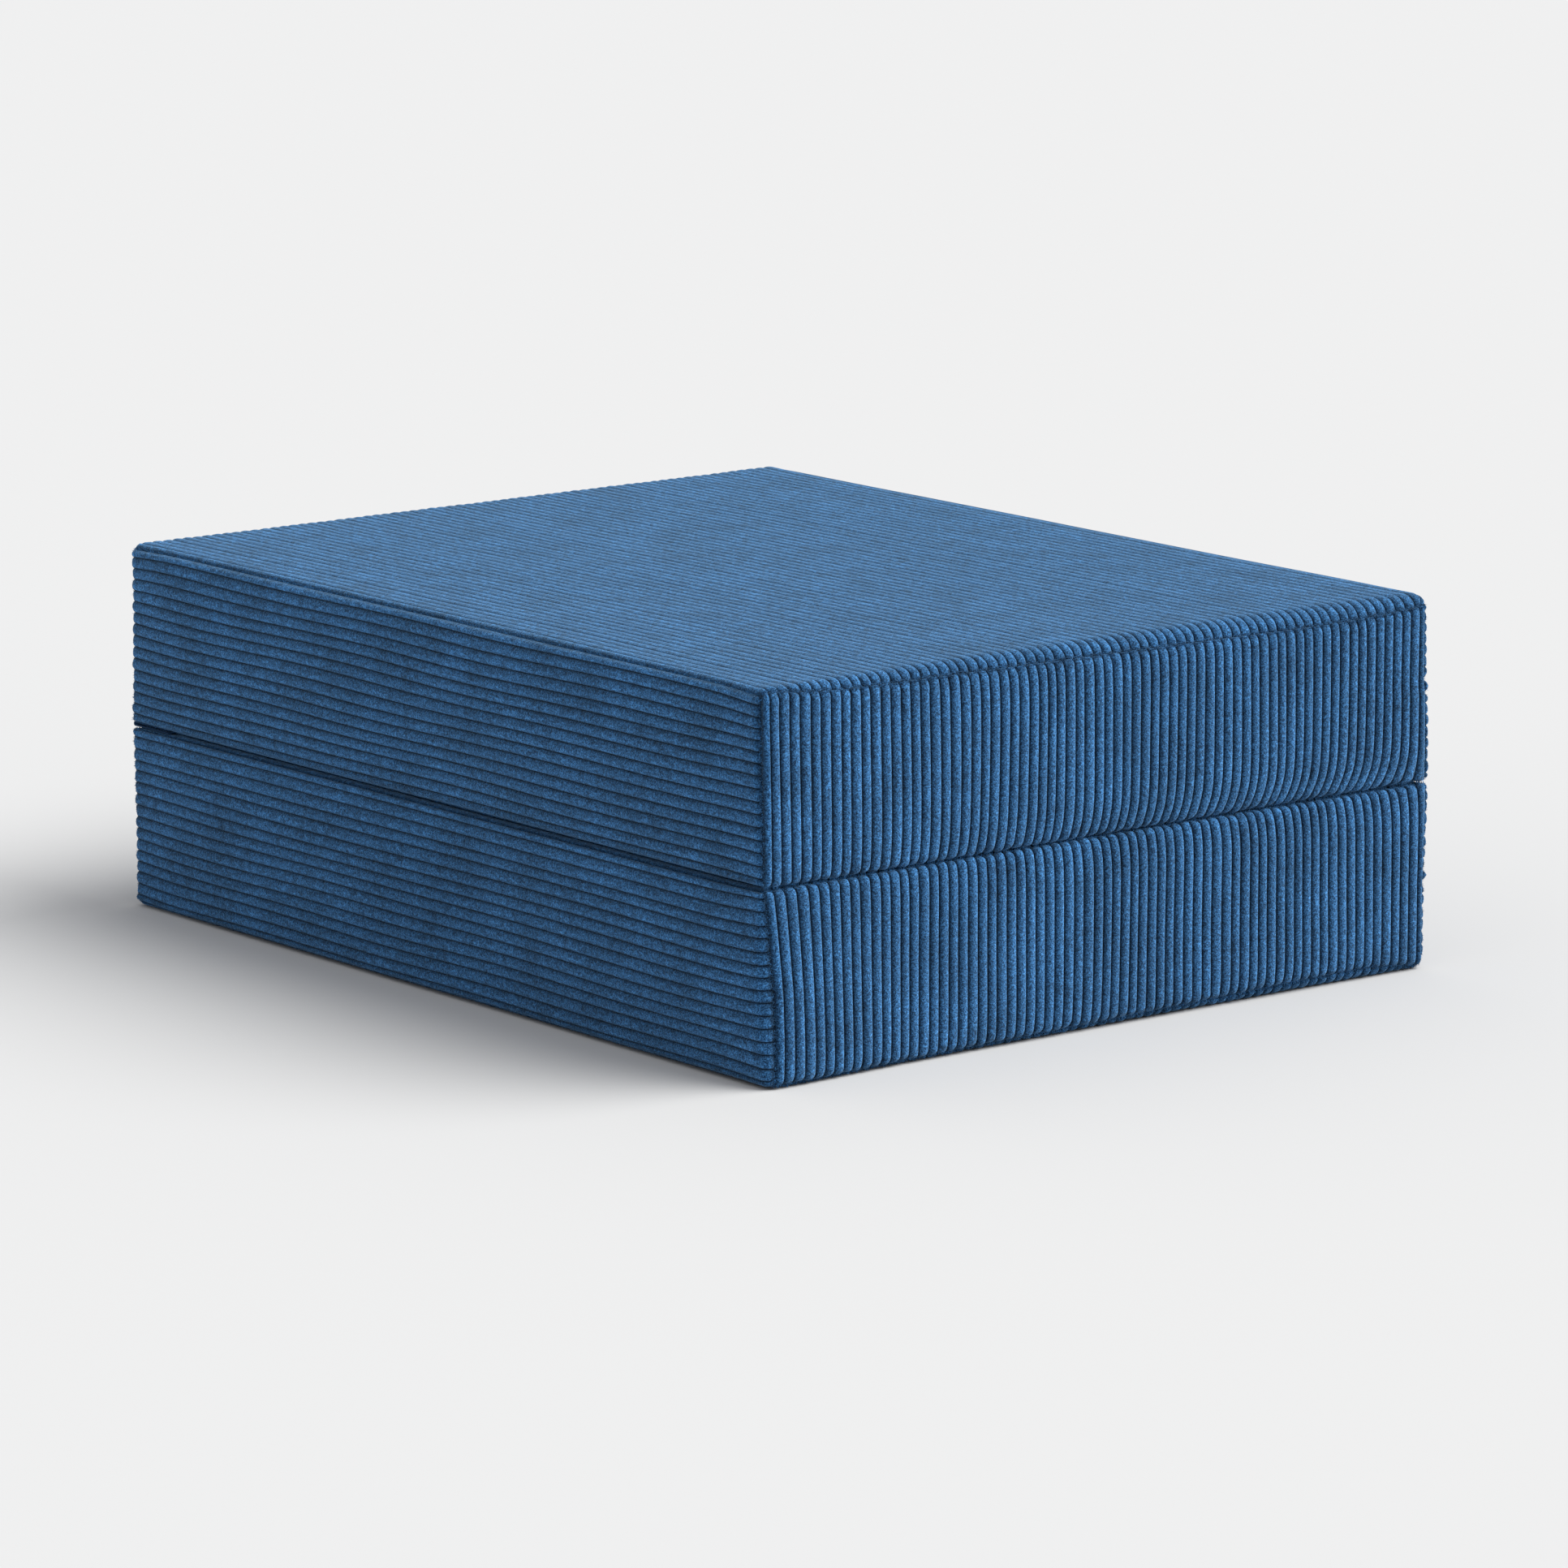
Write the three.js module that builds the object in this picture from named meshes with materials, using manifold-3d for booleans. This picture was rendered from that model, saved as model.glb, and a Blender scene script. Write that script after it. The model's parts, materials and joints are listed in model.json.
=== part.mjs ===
// Folding futon mattress, shown folded: two equal foam slabs in corduroy covers, one on top of the other,
// joined along their back edge by a cloth hinge. Unfolded, the upper slab turns over backwards and lies
// behind the lower one, and the two inner faces become the bed.
//
// Each slab is a comfort layer glued to a support layer, slipped into a thin liner bag. The cover is sewn
// from panels: an outer and an inner face, a front and a back end, a left side, and a right side made of
// two strips with a zip between them. The zip is a nylon coil with a slider that runs along it and a pull
// that swings on the slider.
//
// Units are millimetres, +Z is up, +Y points to the hinge and +X to the zips. The origin is the centre of
// the footprint, on the floor.

import * as THREE from "three";
import { mergeVertices } from "three/addons/utils/BufferGeometryUtils.js";
import Module from "manifold-3d";

const wasm = await Module();
wasm.setup();

// ---- Driving dimensions ----------------------------------------------------------------------------

const BED_WIDTH = 800;
const BED_LENGTH = 2000;
const SLAB_THICKNESS = 180;
const HINGE_GAP = 0.5; // from each slab's back end to the hinge axis
const EDGE_RADIUS = 14;

const COVER = 5; // corduroy with its backing
const LINER = 1;
const CLEARANCE = 0.3; // between pieces that lie on each other
const LOOSE_FIT = 0.5; // between the core and its liner

const COMFORT_LAYER = 50;
const FACE_REBATE = 1.8; // the inner face sits this far below the fold plane, leaving room for the hinge
const HINGE_LEAF = { width: 60, thickness: 1.3, endInset: 12 };

const ZIP = {
  length: 834, // of the coil, between the end stops
  slot: 12, // between the two side strips
  tape: { length: 934, width: 14, thickness: 0.8 },
  coil: { width: 2.4, height: 2 },
  halfGap: 0.6, // from the zip's centre line to each coil and tape
  depth: 6.3, // from the side's outer face to the tape's outer face
  endTab: 50,
  stop: { length: 4, width: 6.4, height: 2.6 },
};
const SLIDER = {
  length: 12,
  width: 9,
  plate: 1,
  runningGap: 0.4, // between its plates and the zip
  web: { length: 4, thickness: 0.6 },
  flange: { thickness: 0.8, depth: 1.6 },
  bridge: { length: 7.4, width: 2.4, post: 1.5, tunnel: 1.6, roof: 0.8 },
  startGap: 1, // between the closed slider and the end of the coil
  coreGap: 1, // between its back plate and the core
};
const PULL = { length: 30, width: 7, thickness: 1, arm: 1.5, window: 7 };

// ---- Places worked out from them -------------------------------------------------------------------

const HALF_WIDTH = BED_WIDTH / 2;
const HINGE_Y = BED_LENGTH / 4;
const HALF_LENGTH = HINGE_Y - HINGE_GAP;
const FACE_Z = SLAB_THICKNESS - FACE_REBATE; // the inner face of the lower slab
const MIDDLE_Z = FACE_Z / 2; // where the zip runs
const BELT_HALF_WIDTH = HALF_WIDTH - COVER - CLEARANCE;

const TAPE_X = HALF_WIDTH - ZIP.depth; // the tape's outer face
const COIL_X = TAPE_X + CLEARANCE; // the coil's base
const SLIDER_FRONT_X = COIL_X + ZIP.coil.height + SLIDER.runningGap; // the front plate's underside
const SLIDER_BACK_X = TAPE_X - ZIP.tape.thickness - SLIDER.runningGap; // the back plate's outer side
const PULL_AXIS_X = SLIDER_FRONT_X + SLIDER.plate + SLIDER.bridge.tunnel / 2;
const CORE_RIGHT_X = SLIDER_BACK_X - SLIDER.plate - SLIDER.coreGap;
const SLIDER_START_Y = SLIDER.length / 2 + SLIDER.startGap - ZIP.length / 2; // closed, at the front

const COLOURS = {
  corduroy: 0x2f5f92,
  foam: 0xf1ead2,
  comfortFoam: 0xdfe8ee,
  liner: 0xf3f3f0,
  hinge: 0x234c78,
  tape: 0x25507f,
  coil: 0x1d4068,
  metal: 0x9aa0a6,
};

// ---- Materials -------------------------------------------------------------------------------------

function material(color, roughness, metalness = 0) {
  return new THREE.MeshStandardMaterial({ color, roughness, metalness });
}

const MATERIALS = {
  corduroy: material(COLOURS.corduroy, 0.95),
  foam: material(COLOURS.foam, 0.9),
  comfortFoam: material(COLOURS.comfortFoam, 0.9),
  liner: material(COLOURS.liner, 0.85),
  hinge: material(COLOURS.hinge, 0.9),
  tape: material(COLOURS.tape, 0.85),
  coil: material(COLOURS.coil, 0.45),
  metal: material(COLOURS.metal, 0.35, 1),
};

// ---- Shapes ----------------------------------------------------------------------------------------

const ARC_STEPS = 6;

// A flat outline drawn in the YZ plane, pulled out along X from x0 to x1.
function pullAlongX(shape, x0, x1) {
  const geometry = new THREE.ExtrudeGeometry(shape, {
    depth: x1 - x0,
    bevelEnabled: false,
    curveSegments: ARC_STEPS,
  });
  // The outline's own x and y become Y and Z, and its depth becomes X.
  const turn = new THREE.Matrix4().makeBasis(
    new THREE.Vector3(0, 1, 0),
    new THREE.Vector3(0, 0, 1),
    new THREE.Vector3(1, 0, 0),
  );
  return geometry.applyMatrix4(turn).translate(x0, 0, 0);
}

function box(x0, x1, y0, y1, z0, z1) {
  return new THREE.BoxGeometry(x1 - x0, y1 - y0, z1 - z0).translate(
    (x0 + x1) / 2,
    (y0 + y1) / 2,
    (z0 + z1) / 2,
  );
}

// A rectangle from (y0, z0) to (y1, z1) whose low and high pairs of corners have their own radius.
function roundedRectangle(y0, y1, z0, z1, lowRadius, highRadius) {
  const shape = new THREE.Shape();
  shape.moveTo(y0 + lowRadius, z0);
  shape.lineTo(y1 - lowRadius, z0);
  if (lowRadius) {
    shape.absarc(y1 - lowRadius, z0 + lowRadius, lowRadius, -Math.PI / 2, 0);
  }
  shape.lineTo(y1, z1 - highRadius);
  if (highRadius) {
    shape.absarc(y1 - highRadius, z1 - highRadius, highRadius, 0, Math.PI / 2);
  }
  shape.lineTo(y0 + highRadius, z1);
  if (highRadius) {
    shape.absarc(y0 + highRadius, z1 - highRadius, highRadius, Math.PI / 2, Math.PI);
  }
  shape.lineTo(y0, z0 + lowRadius);
  if (lowRadius) {
    shape.absarc(y0 + lowRadius, z0 + lowRadius, lowRadius, Math.PI, 1.5 * Math.PI);
  }
  return shape;
}

// The section of a cover panel: a straight run between two corner centres, then round each corner by its
// own angle. It is drawn facing down, so that it runs along +Y with its outer face at -EDGE_RADIUS.
function panelSection(run, startWrap, endWrap) {
  const outer = EDGE_RADIUS;
  const inner = EDGE_RADIUS - COVER;
  const down = -Math.PI / 2;
  const shape = new THREE.Shape();
  shape.moveTo(Math.cos(down - startWrap) * outer, Math.sin(down - startWrap) * outer);
  shape.absarc(0, 0, outer, down - startWrap, down, false);
  shape.lineTo(run, -outer);
  shape.absarc(run, 0, outer, down, down + endWrap, false);
  shape.lineTo(run + Math.cos(down + endWrap) * inner, Math.sin(down + endWrap) * inner);
  shape.absarc(run, 0, inner, down + endWrap, down, true);
  shape.lineTo(0, -inner);
  shape.absarc(0, 0, inner, down, down - startWrap, true);
  return shape;
}

// ---- Cutting and joining ---------------------------------------------------------------------------

function toSolid(geometry) {
  const bare = geometry.index ? geometry.toNonIndexed() : geometry.clone();
  bare.deleteAttribute("normal");
  bare.deleteAttribute("uv");
  const merged = mergeVertices(bare, 1e-4);
  return new wasm.Manifold(
    new wasm.Mesh({
      numProp: 3,
      vertProperties: merged.attributes.position.array,
      triVerts: new Uint32Array(merged.index.array),
    }),
  );
}

function toGeometry(solid) {
  const mesh = solid.getMesh();
  const geometry = new THREE.BufferGeometry();
  geometry.setAttribute("position", new THREE.BufferAttribute(mesh.vertProperties, 3));
  geometry.setIndex(new THREE.BufferAttribute(mesh.triVerts, 1));
  geometry.computeVertexNormals();
  return geometry;
}

function join(...geometries) {
  return toGeometry(geometries.map(toSolid).reduce((all, next) => all.add(next)));
}

function cut(geometry, tool) {
  return toGeometry(toSolid(geometry).subtract(toSolid(tool)));
}

function named(name, geometry, look) {
  const mesh = new THREE.Mesh(geometry, look);
  mesh.name = name;
  return mesh;
}

// ---- Cover -----------------------------------------------------------------------------------------

const QUARTER = Math.PI / 2;
const OUTER_WRAP = THREE.MathUtils.degToRad(70); // the outer face's share of its corner, up to the seam
const SEAM_ANGLE = CLEARANCE / (EDGE_RADIUS - COVER); // the clearance between two panels, as an angle

// The faces and ends form a belt round the slab. Each panel turns its section to face its own way.
function beltPanels(prefix) {
  const lengthRun = 2 * (HALF_LENGTH - EDGE_RADIUS);
  const heightRun = FACE_Z - 2 * EDGE_RADIUS;
  const endWrap = QUARTER - OUTER_WRAP - SEAM_ANGLE;
  const innerEndWrap = QUARTER - SEAM_ANGLE;
  const low = EDGE_RADIUS;
  const high = FACE_Z - EDGE_RADIUS;
  const near = -HALF_LENGTH + EDGE_RADIUS;
  const far = HALF_LENGTH - EDGE_RADIUS;

  function panel(name, section, y, z, quarterTurns) {
    const geometry = pullAlongX(section, -BELT_HALF_WIDTH, BELT_HALF_WIDTH);
    geometry.rotateX(quarterTurns * QUARTER).translate(0, y, z);
    return named(`${prefix}_${name}`, geometry, MATERIALS.corduroy);
  }

  return [
    panel("outer_face_panel", panelSection(lengthRun, OUTER_WRAP, OUTER_WRAP), near, low, 0),
    panel("back_end_panel", panelSection(heightRun, endWrap, innerEndWrap), far, low, 1),
    panel("inner_face_panel", panelSection(lengthRun, 0, 0), far, high, 2),
    panel("front_end_panel", panelSection(heightRun, innerEndWrap, endWrap), near, high, 3),
  ];
}

function sidePanels(prefix) {
  const outline = (z0, z1, lowRadius, highRadius) =>
    roundedRectangle(-HALF_LENGTH, HALF_LENGTH, z0, z1, lowRadius, highRadius);
  const inside = HALF_WIDTH - COVER;
  const left = outline(0, FACE_Z, EDGE_RADIUS, EDGE_RADIUS);
  const outerStrip = outline(0, MIDDLE_Z - ZIP.slot / 2, EDGE_RADIUS, 0);
  const innerStrip = outline(MIDDLE_Z + ZIP.slot / 2, FACE_Z, 0, EDGE_RADIUS);
  return [
    named(`${prefix}_left_side_panel`, pullAlongX(left, -HALF_WIDTH, -inside), MATERIALS.corduroy),
    named(`${prefix}_right_side_outer_strip`, pullAlongX(outerStrip, inside, HALF_WIDTH), MATERIALS.corduroy),
    named(`${prefix}_right_side_inner_strip`, pullAlongX(innerStrip, inside, HALF_WIDTH), MATERIALS.corduroy),
  ];
}

// ---- Core ------------------------------------------------------------------------------------------

// The space inside the cover, drawn in by `inset` all round.
function coreOutline(inset) {
  const shell = COVER + inset;
  const radius = EDGE_RADIUS - shell;
  return roundedRectangle(
    -HALF_LENGTH + shell,
    HALF_LENGTH - shell,
    shell,
    FACE_Z - shell,
    radius,
    radius,
  );
}

function core(prefix) {
  const shell = COVER + CLEARANCE + LINER + LOOSE_FIT;
  const radius = EDGE_RADIUS - shell;
  const leftX = -HALF_WIDTH + shell;
  const split = FACE_Z - shell - COMFORT_LAYER;
  const y0 = -HALF_LENGTH + shell;
  const y1 = HALF_LENGTH - shell;
  const support = roundedRectangle(y0, y1, shell, split, radius, 0);
  const comfort = roundedRectangle(y0, y1, split + CLEARANCE, FACE_Z - shell, 0, radius);
  return [
    named(`${prefix}_support_foam`, pullAlongX(support, leftX, CORE_RIGHT_X), MATERIALS.foam),
    named(`${prefix}_comfort_foam`, pullAlongX(comfort, leftX, CORE_RIGHT_X), MATERIALS.comfortFoam),
  ];
}

// A bag closed at the left, whose mouth is at the zip.
function linerBag(prefix) {
  const leftX = -HALF_WIDTH + COVER + CLEARANCE;
  const whole = pullAlongX(coreOutline(CLEARANCE), leftX, CORE_RIGHT_X);
  const hollow = pullAlongX(coreOutline(CLEARANCE + LINER), leftX + LINER, CORE_RIGHT_X + LINER);
  return named(`${prefix}_liner_bag`, cut(whole, hollow), MATERIALS.liner);
}

// ---- Zip -------------------------------------------------------------------------------------------

function zipTapesAndCoils(prefix) {
  const { tape, coil, halfGap, length } = ZIP;
  const pieces = [];
  for (const [side, sign] of [["outer", -1], ["inner", 1]]) {
    const near = MIDDLE_Z + sign * halfGap;
    const tapeEdge = near + sign * tape.width;
    const coilEdge = near + sign * coil.width;
    const tapeBox = box(
      TAPE_X - tape.thickness, TAPE_X,
      -tape.length / 2, tape.length / 2,
      Math.min(near, tapeEdge), Math.max(near, tapeEdge),
    );
    const coilBox = box(
      COIL_X, COIL_X + coil.height,
      -length / 2, length / 2,
      Math.min(near, coilEdge), Math.max(near, coilEdge),
    );
    pieces.push(named(`${prefix}_zip_${side}_tape`, tapeBox, MATERIALS.tape));
    pieces.push(named(`${prefix}_zip_${side}_coil`, coilBox, MATERIALS.coil));
  }
  return pieces;
}

// The metal stops clamp over both coils' ends, and the cloth tabs fill the slot beyond them.
function zipEnds(prefix) {
  const { stop, length, slot, endTab } = ZIP;
  const pieces = [];
  for (const [end, sign] of [["front", -1], ["back", 1]]) {
    const stopAt = sign * (length / 2 + CLEARANCE + stop.length / 2);
    const stopBox = box(
      COIL_X, COIL_X + stop.height,
      stopAt - stop.length / 2, stopAt + stop.length / 2,
      MIDDLE_Z - stop.width / 2, MIDDLE_Z + stop.width / 2,
    );
    const tabAt = sign * (HALF_LENGTH - endTab / 2);
    const tabBox = box(
      HALF_WIDTH - COVER, HALF_WIDTH,
      tabAt - endTab / 2, tabAt + endTab / 2,
      MIDDLE_Z - slot / 2 + CLEARANCE, MIDDLE_Z + slot / 2 - CLEARANCE,
    );
    pieces.push(named(`${prefix}_zip_${end}_stop`, stopBox, MATERIALS.metal));
    pieces.push(named(`${prefix}_zip_${end}_end_tab`, tabBox, MATERIALS.corduroy));
  }
  return pieces;
}

// Two plates joined by a thin web between the coils, with flanges down the sides of the front plate and a
// bridge for the pull. Its own origin is on the zip's centre line.
function zipSlider(prefix) {
  const { length, width, plate, web, flange, bridge } = SLIDER;
  const roofX = SLIDER_FRONT_X + plate + bridge.tunnel;
  const halfBridge = bridge.length / 2;
  const plates = [
    box(SLIDER_FRONT_X, SLIDER_FRONT_X + plate, -length / 2, length / 2, -width / 2, width / 2),
    box(SLIDER_BACK_X - plate, SLIDER_BACK_X, -length / 2, length / 2, -width / 2, width / 2),
    box(
      SLIDER_BACK_X - plate / 2, SLIDER_FRONT_X + plate / 2,
      -web.length / 2, web.length / 2,
      -web.thickness / 2, web.thickness / 2,
    ),
  ];
  const flanges = [-1, 1].map((sign) => {
    const outside = (sign * width) / 2;
    const inside = outside - sign * flange.thickness;
    return box(
      SLIDER_FRONT_X - flange.depth, SLIDER_FRONT_X + plate / 2,
      -length / 2, length / 2,
      Math.min(inside, outside), Math.max(inside, outside),
    );
  });
  const posts = [-1, 1].map((sign) => {
    const outside = sign * halfBridge;
    const inside = outside - sign * bridge.post;
    return box(
      SLIDER_FRONT_X + plate / 2, roofX + bridge.roof,
      Math.min(inside, outside), Math.max(inside, outside),
      -bridge.width / 2, bridge.width / 2,
    );
  });
  const roof = box(
    roofX, roofX + bridge.roof,
    -halfBridge, halfBridge,
    -bridge.width / 2, bridge.width / 2,
  );
  const slider = named(`${prefix}_zip_slider`, join(...plates, ...flanges, ...posts, roof), MATERIALS.metal);
  slider.position.set(0, SLIDER_START_Y, MIDDLE_Z);
  return slider;
}

// A flat tab with a window near one end. The bar past the window lies under the slider's bridge, on the
// axis that the pull swings about.
function zipPull(prefix) {
  const { length, width, thickness, arm, window: windowLength } = PULL;
  const bar = thickness;
  const endRadius = width / 2;
  const outline = new THREE.Shape();
  outline.moveTo(-bar / 2, -width / 2);
  outline.lineTo(length - endRadius, -width / 2);
  outline.absarc(length - endRadius, 0, endRadius, -QUARTER, QUARTER, false);
  outline.lineTo(-bar / 2, width / 2);
  const hole = new THREE.Path();
  const side = width / 2 - arm;
  hole.moveTo(bar / 2, -side);
  hole.lineTo(bar / 2, side);
  hole.lineTo(windowLength, side);
  hole.lineTo(windowLength, -side);
  outline.holes.push(hole);
  const geometry = pullAlongX(outline, -thickness / 2, thickness / 2);
  const pull = named(`${prefix}_zip_pull`, geometry, MATERIALS.metal);
  pull.position.set(PULL_AXIS_X, SLIDER_START_Y, MIDDLE_Z);
  return pull;
}

// ---- Hinge -----------------------------------------------------------------------------------------

// One leaf of the cloth hinge, sewn flat to the inner face along the back edge.
function hingeLeaf(prefix) {
  const { width, thickness, endInset } = HINGE_LEAF;
  const z0 = FACE_Z + CLEARANCE;
  const geometry = box(
    -HALF_WIDTH + endInset, HALF_WIDTH - endInset,
    HALF_LENGTH - width, HALF_LENGTH,
    z0, z0 + thickness,
  );
  return named(`${prefix}_hinge_leaf`, geometry, MATERIALS.hinge);
}

// ---- Assembly --------------------------------------------------------------------------------------

function slab(prefix) {
  const group = new THREE.Group();
  group.add(
    ...core(prefix),
    linerBag(prefix),
    ...beltPanels(prefix),
    ...sidePanels(prefix),
    ...zipTapesAndCoils(prefix),
    ...zipEnds(prefix),
    zipSlider(prefix),
    zipPull(prefix),
    hingeLeaf(prefix),
  );
  return group;
}

const lowerSlab = slab("lower");
const upperSlab = slab("upper");
// The upper slab is the lower one's mirror image in the fold plane.
upperSlab.scale.z = -1;
upperSlab.position.z = 2 * SLAB_THICKNESS;

const futonMattress = new THREE.Group();
futonMattress.add(lowerSlab, upperSlab);

export default futonMattress;
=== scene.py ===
import json
import math

import bmesh
import bpy
import numpy as np
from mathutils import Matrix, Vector

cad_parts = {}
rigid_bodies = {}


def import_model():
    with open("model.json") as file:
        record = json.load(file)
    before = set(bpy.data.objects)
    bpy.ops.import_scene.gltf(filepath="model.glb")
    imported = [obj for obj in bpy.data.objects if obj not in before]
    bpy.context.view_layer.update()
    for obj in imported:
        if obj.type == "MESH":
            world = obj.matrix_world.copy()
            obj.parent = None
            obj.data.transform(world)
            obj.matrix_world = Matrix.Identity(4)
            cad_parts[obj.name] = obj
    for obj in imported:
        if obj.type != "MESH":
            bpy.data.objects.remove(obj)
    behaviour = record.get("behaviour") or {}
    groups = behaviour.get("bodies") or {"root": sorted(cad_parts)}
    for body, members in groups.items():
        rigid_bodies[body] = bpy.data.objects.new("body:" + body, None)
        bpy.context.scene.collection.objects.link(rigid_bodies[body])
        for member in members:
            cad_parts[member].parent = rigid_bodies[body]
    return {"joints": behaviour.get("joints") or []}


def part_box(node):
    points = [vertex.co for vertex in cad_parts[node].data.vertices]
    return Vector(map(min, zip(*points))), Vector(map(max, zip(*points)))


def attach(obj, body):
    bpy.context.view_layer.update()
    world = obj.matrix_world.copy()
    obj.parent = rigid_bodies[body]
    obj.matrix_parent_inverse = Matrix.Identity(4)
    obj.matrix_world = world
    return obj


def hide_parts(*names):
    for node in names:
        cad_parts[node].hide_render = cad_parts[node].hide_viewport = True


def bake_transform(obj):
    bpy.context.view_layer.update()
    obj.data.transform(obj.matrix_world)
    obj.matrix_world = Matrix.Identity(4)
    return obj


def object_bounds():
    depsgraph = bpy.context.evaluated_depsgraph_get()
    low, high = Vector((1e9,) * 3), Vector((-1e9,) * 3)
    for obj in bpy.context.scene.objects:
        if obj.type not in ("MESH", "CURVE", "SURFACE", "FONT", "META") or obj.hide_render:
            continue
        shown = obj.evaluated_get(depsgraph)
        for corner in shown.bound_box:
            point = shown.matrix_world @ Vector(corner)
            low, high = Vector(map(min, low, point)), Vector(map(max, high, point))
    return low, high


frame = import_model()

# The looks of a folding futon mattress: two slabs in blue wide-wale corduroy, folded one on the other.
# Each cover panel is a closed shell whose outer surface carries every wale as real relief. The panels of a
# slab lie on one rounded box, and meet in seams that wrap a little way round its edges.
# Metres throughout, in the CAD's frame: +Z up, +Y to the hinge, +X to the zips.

MM = 0.001
cad_low, cad_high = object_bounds()

# ---- Places from the frame -------------------------------

FOLD_Z = next(j for j in frame["joints"] if j["name"] == "fold")["pos_m"][2]
HALF_WIDTH = cad_high.x
HALF_LENGTH = cad_high.y
SLOT_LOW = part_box("lower_right_side_outer_strip")[1].z  # the zip's slot in the right side
SLOT_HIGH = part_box("lower_right_side_inner_strip")[0].z
TAB_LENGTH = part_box("lower_zip_front_end_tab")[1].y + HALF_LENGTH
TOUCH_GAP = 0.2 * MM  # left between each inner face and the fold plane

BOX_LOW = np.array([-HALF_WIDTH, -HALF_LENGTH, 0.0])
BOX_HIGH = np.array([HALF_WIDTH, HALF_LENGTH, FOLD_Z - TOUCH_GAP])
BOX_SIZE = BOX_HIGH - BOX_LOW
BOX = (BOX_LOW, BOX_HIGH)

# ---- Camera ----------------------------------------------

CAMERA_AZIMUTH = -38.4  # degrees, from the front
CAMERA_ELEVATION = 11.25
CAMERA_DISTANCE = 7.389
CAMERA_LENS = 177.2  # millimetres
CAMERA_TARGET = Vector((0.0083, -0.0141, 0.1501))
CAMERA_CLIP_END = 60


def place_facing(thing, target, azimuth, elevation, distance):
    """Puts a camera or a light at a distance from a target, and turns it there. The angles are in degrees:
    azimuth 0 is the front, -Y, and 90 is the right, +X."""
    a, e = math.radians(azimuth), math.radians(elevation)
    back = Vector((math.sin(a) * math.cos(e), -math.cos(a) * math.cos(e), math.sin(e)))
    thing.location = target + back * distance
    thing.rotation_mode = "QUATERNION"
    thing.rotation_quaternion = (-back).to_track_quat("-Z", "Y")
    bpy.context.scene.collection.objects.link(thing)


def add_camera():
    data = bpy.data.cameras.new("camera")
    data.lens = CAMERA_LENS
    data.clip_end = CAMERA_CLIP_END
    camera = bpy.data.objects.new("camera", data)
    place_facing(camera, CAMERA_TARGET, CAMERA_AZIMUTH, CAMERA_ELEVATION, CAMERA_DISTANCE)
    bpy.context.scene.camera = camera


add_camera()

# ---- Smooth random fields --------------------------------

rng = np.random.default_rng(41)


def make_waves(count=9):
    """A field that wanders between about -1 and 1, and repeats nowhere on the object."""
    directions = rng.normal(size=(count, 3))
    directions /= np.linalg.norm(directions, axis=1, keepdims=True)
    return directions * rng.uniform(0.6, 1.5, (count, 1)), rng.uniform(0, 2 * math.pi, count)


def wander(waves, points, size):
    """size is the distance over which the field changes, in metres: one number, or one for each axis."""
    directions, phases = waves
    scaled = points / np.asarray(size)
    return np.sin(scaled @ directions.T * 2 + phases).sum(-1) / math.sqrt(len(phases))


WAVE_SWELL = make_waves()
WAVE_DRIFT = make_waves()
WAVE_PUCKER = make_waves(14)

# ---- The rounded box under the cover ---------------------
# A slab is worked out in its own frame, where z runs from its outer face, at 0, to its inner face. X, Y
# and Z name the axes, and LOW and HIGH the two sides along each.

X, Y, Z = 0, 1, 2
LOW, HIGH = 0, 1

# Radii are in millimetres, and angles in degrees. A pair holds the values at an edge's two ends, left and
# right or front and back, and the value changes between them.
SLABS = {
    "lower": {
        "outer_radius": {"front": (10, 17), "back": 12, "left": 9, "right": 10},
        "inner_radius": {"front": (6, 7), "back": 5, "left": 6, "right": 6},
        "corner_radius": {"left_front": 20, "left_back": 12, "right_front": 12, "right_back": 14},
        # where three panels meet, as the direction from the corner's centre: how far the side panel wraps
        # towards the end panel, and towards the face
        "corners": {
            ("left", "front", "outer"): (72, 76),
            ("left", "front", "inner"): (54, 80),
            ("left", "back", "outer"): (45, 45),
            ("left", "back", "inner"): (45, 50),
            ("right", "front", "outer"): (50, 62),
            ("right", "front", "inner"): (60, 80),
            ("right", "back", "outer"): (45, 45),
            ("right", "back", "inner"): (45, 50),
        },
        # how far the left and the front panel wrap towards the outer face, away from the corners
        "left_outer": (60, 60),
        "front_outer": (66, 14),
        "fold_sweep": 9 * MM,  # how far the front's wales are dragged to the left along the fold
    },
    "upper": {
        "outer_radius": {"front": (15, 27), "back": 16, "left": 11, "right": 16},
        "inner_radius": {"front": (6, 7), "back": 5, "left": 5, "right": 6},
        "corner_radius": {"left_front": 16, "left_back": 12, "right_front": 12, "right_back": 14},
        "corners": {
            ("left", "front", "outer"): (25, 32),
            ("left", "front", "inner"): (42, 78),
            ("left", "back", "outer"): (45, 40),
            ("left", "back", "inner"): (45, 50),
            ("right", "front", "outer"): (50, 25),
            ("right", "front", "inner"): (70, 82),
            ("right", "back", "outer"): (45, 25),
            ("right", "back", "inner"): (45, 50),
        },
        "left_outer": (52, 52),
        "front_outer": (20, 20),
        "fold_sweep": 22 * MM,
    },
}
SIDES = ("left", "right")
ENDS = ("front", "back")
EDGE_FADE = 40 * MM  # how far one edge's radius reaches along its neighbours
FRONT_FOLD_POWER = 0.7  # how early a front edge takes up the radius of its right end
FRONT_OUTER_POWER = 1.3
# The upright corners are pressed squarer near the fold and near the outer face.
FOLD_SQUARING, FOLD_SQUARING_REACH = 0.55, 25 * MM
OUTER_SQUARING, OUTER_SQUARING_REACH = 0.45, 22 * MM


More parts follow.
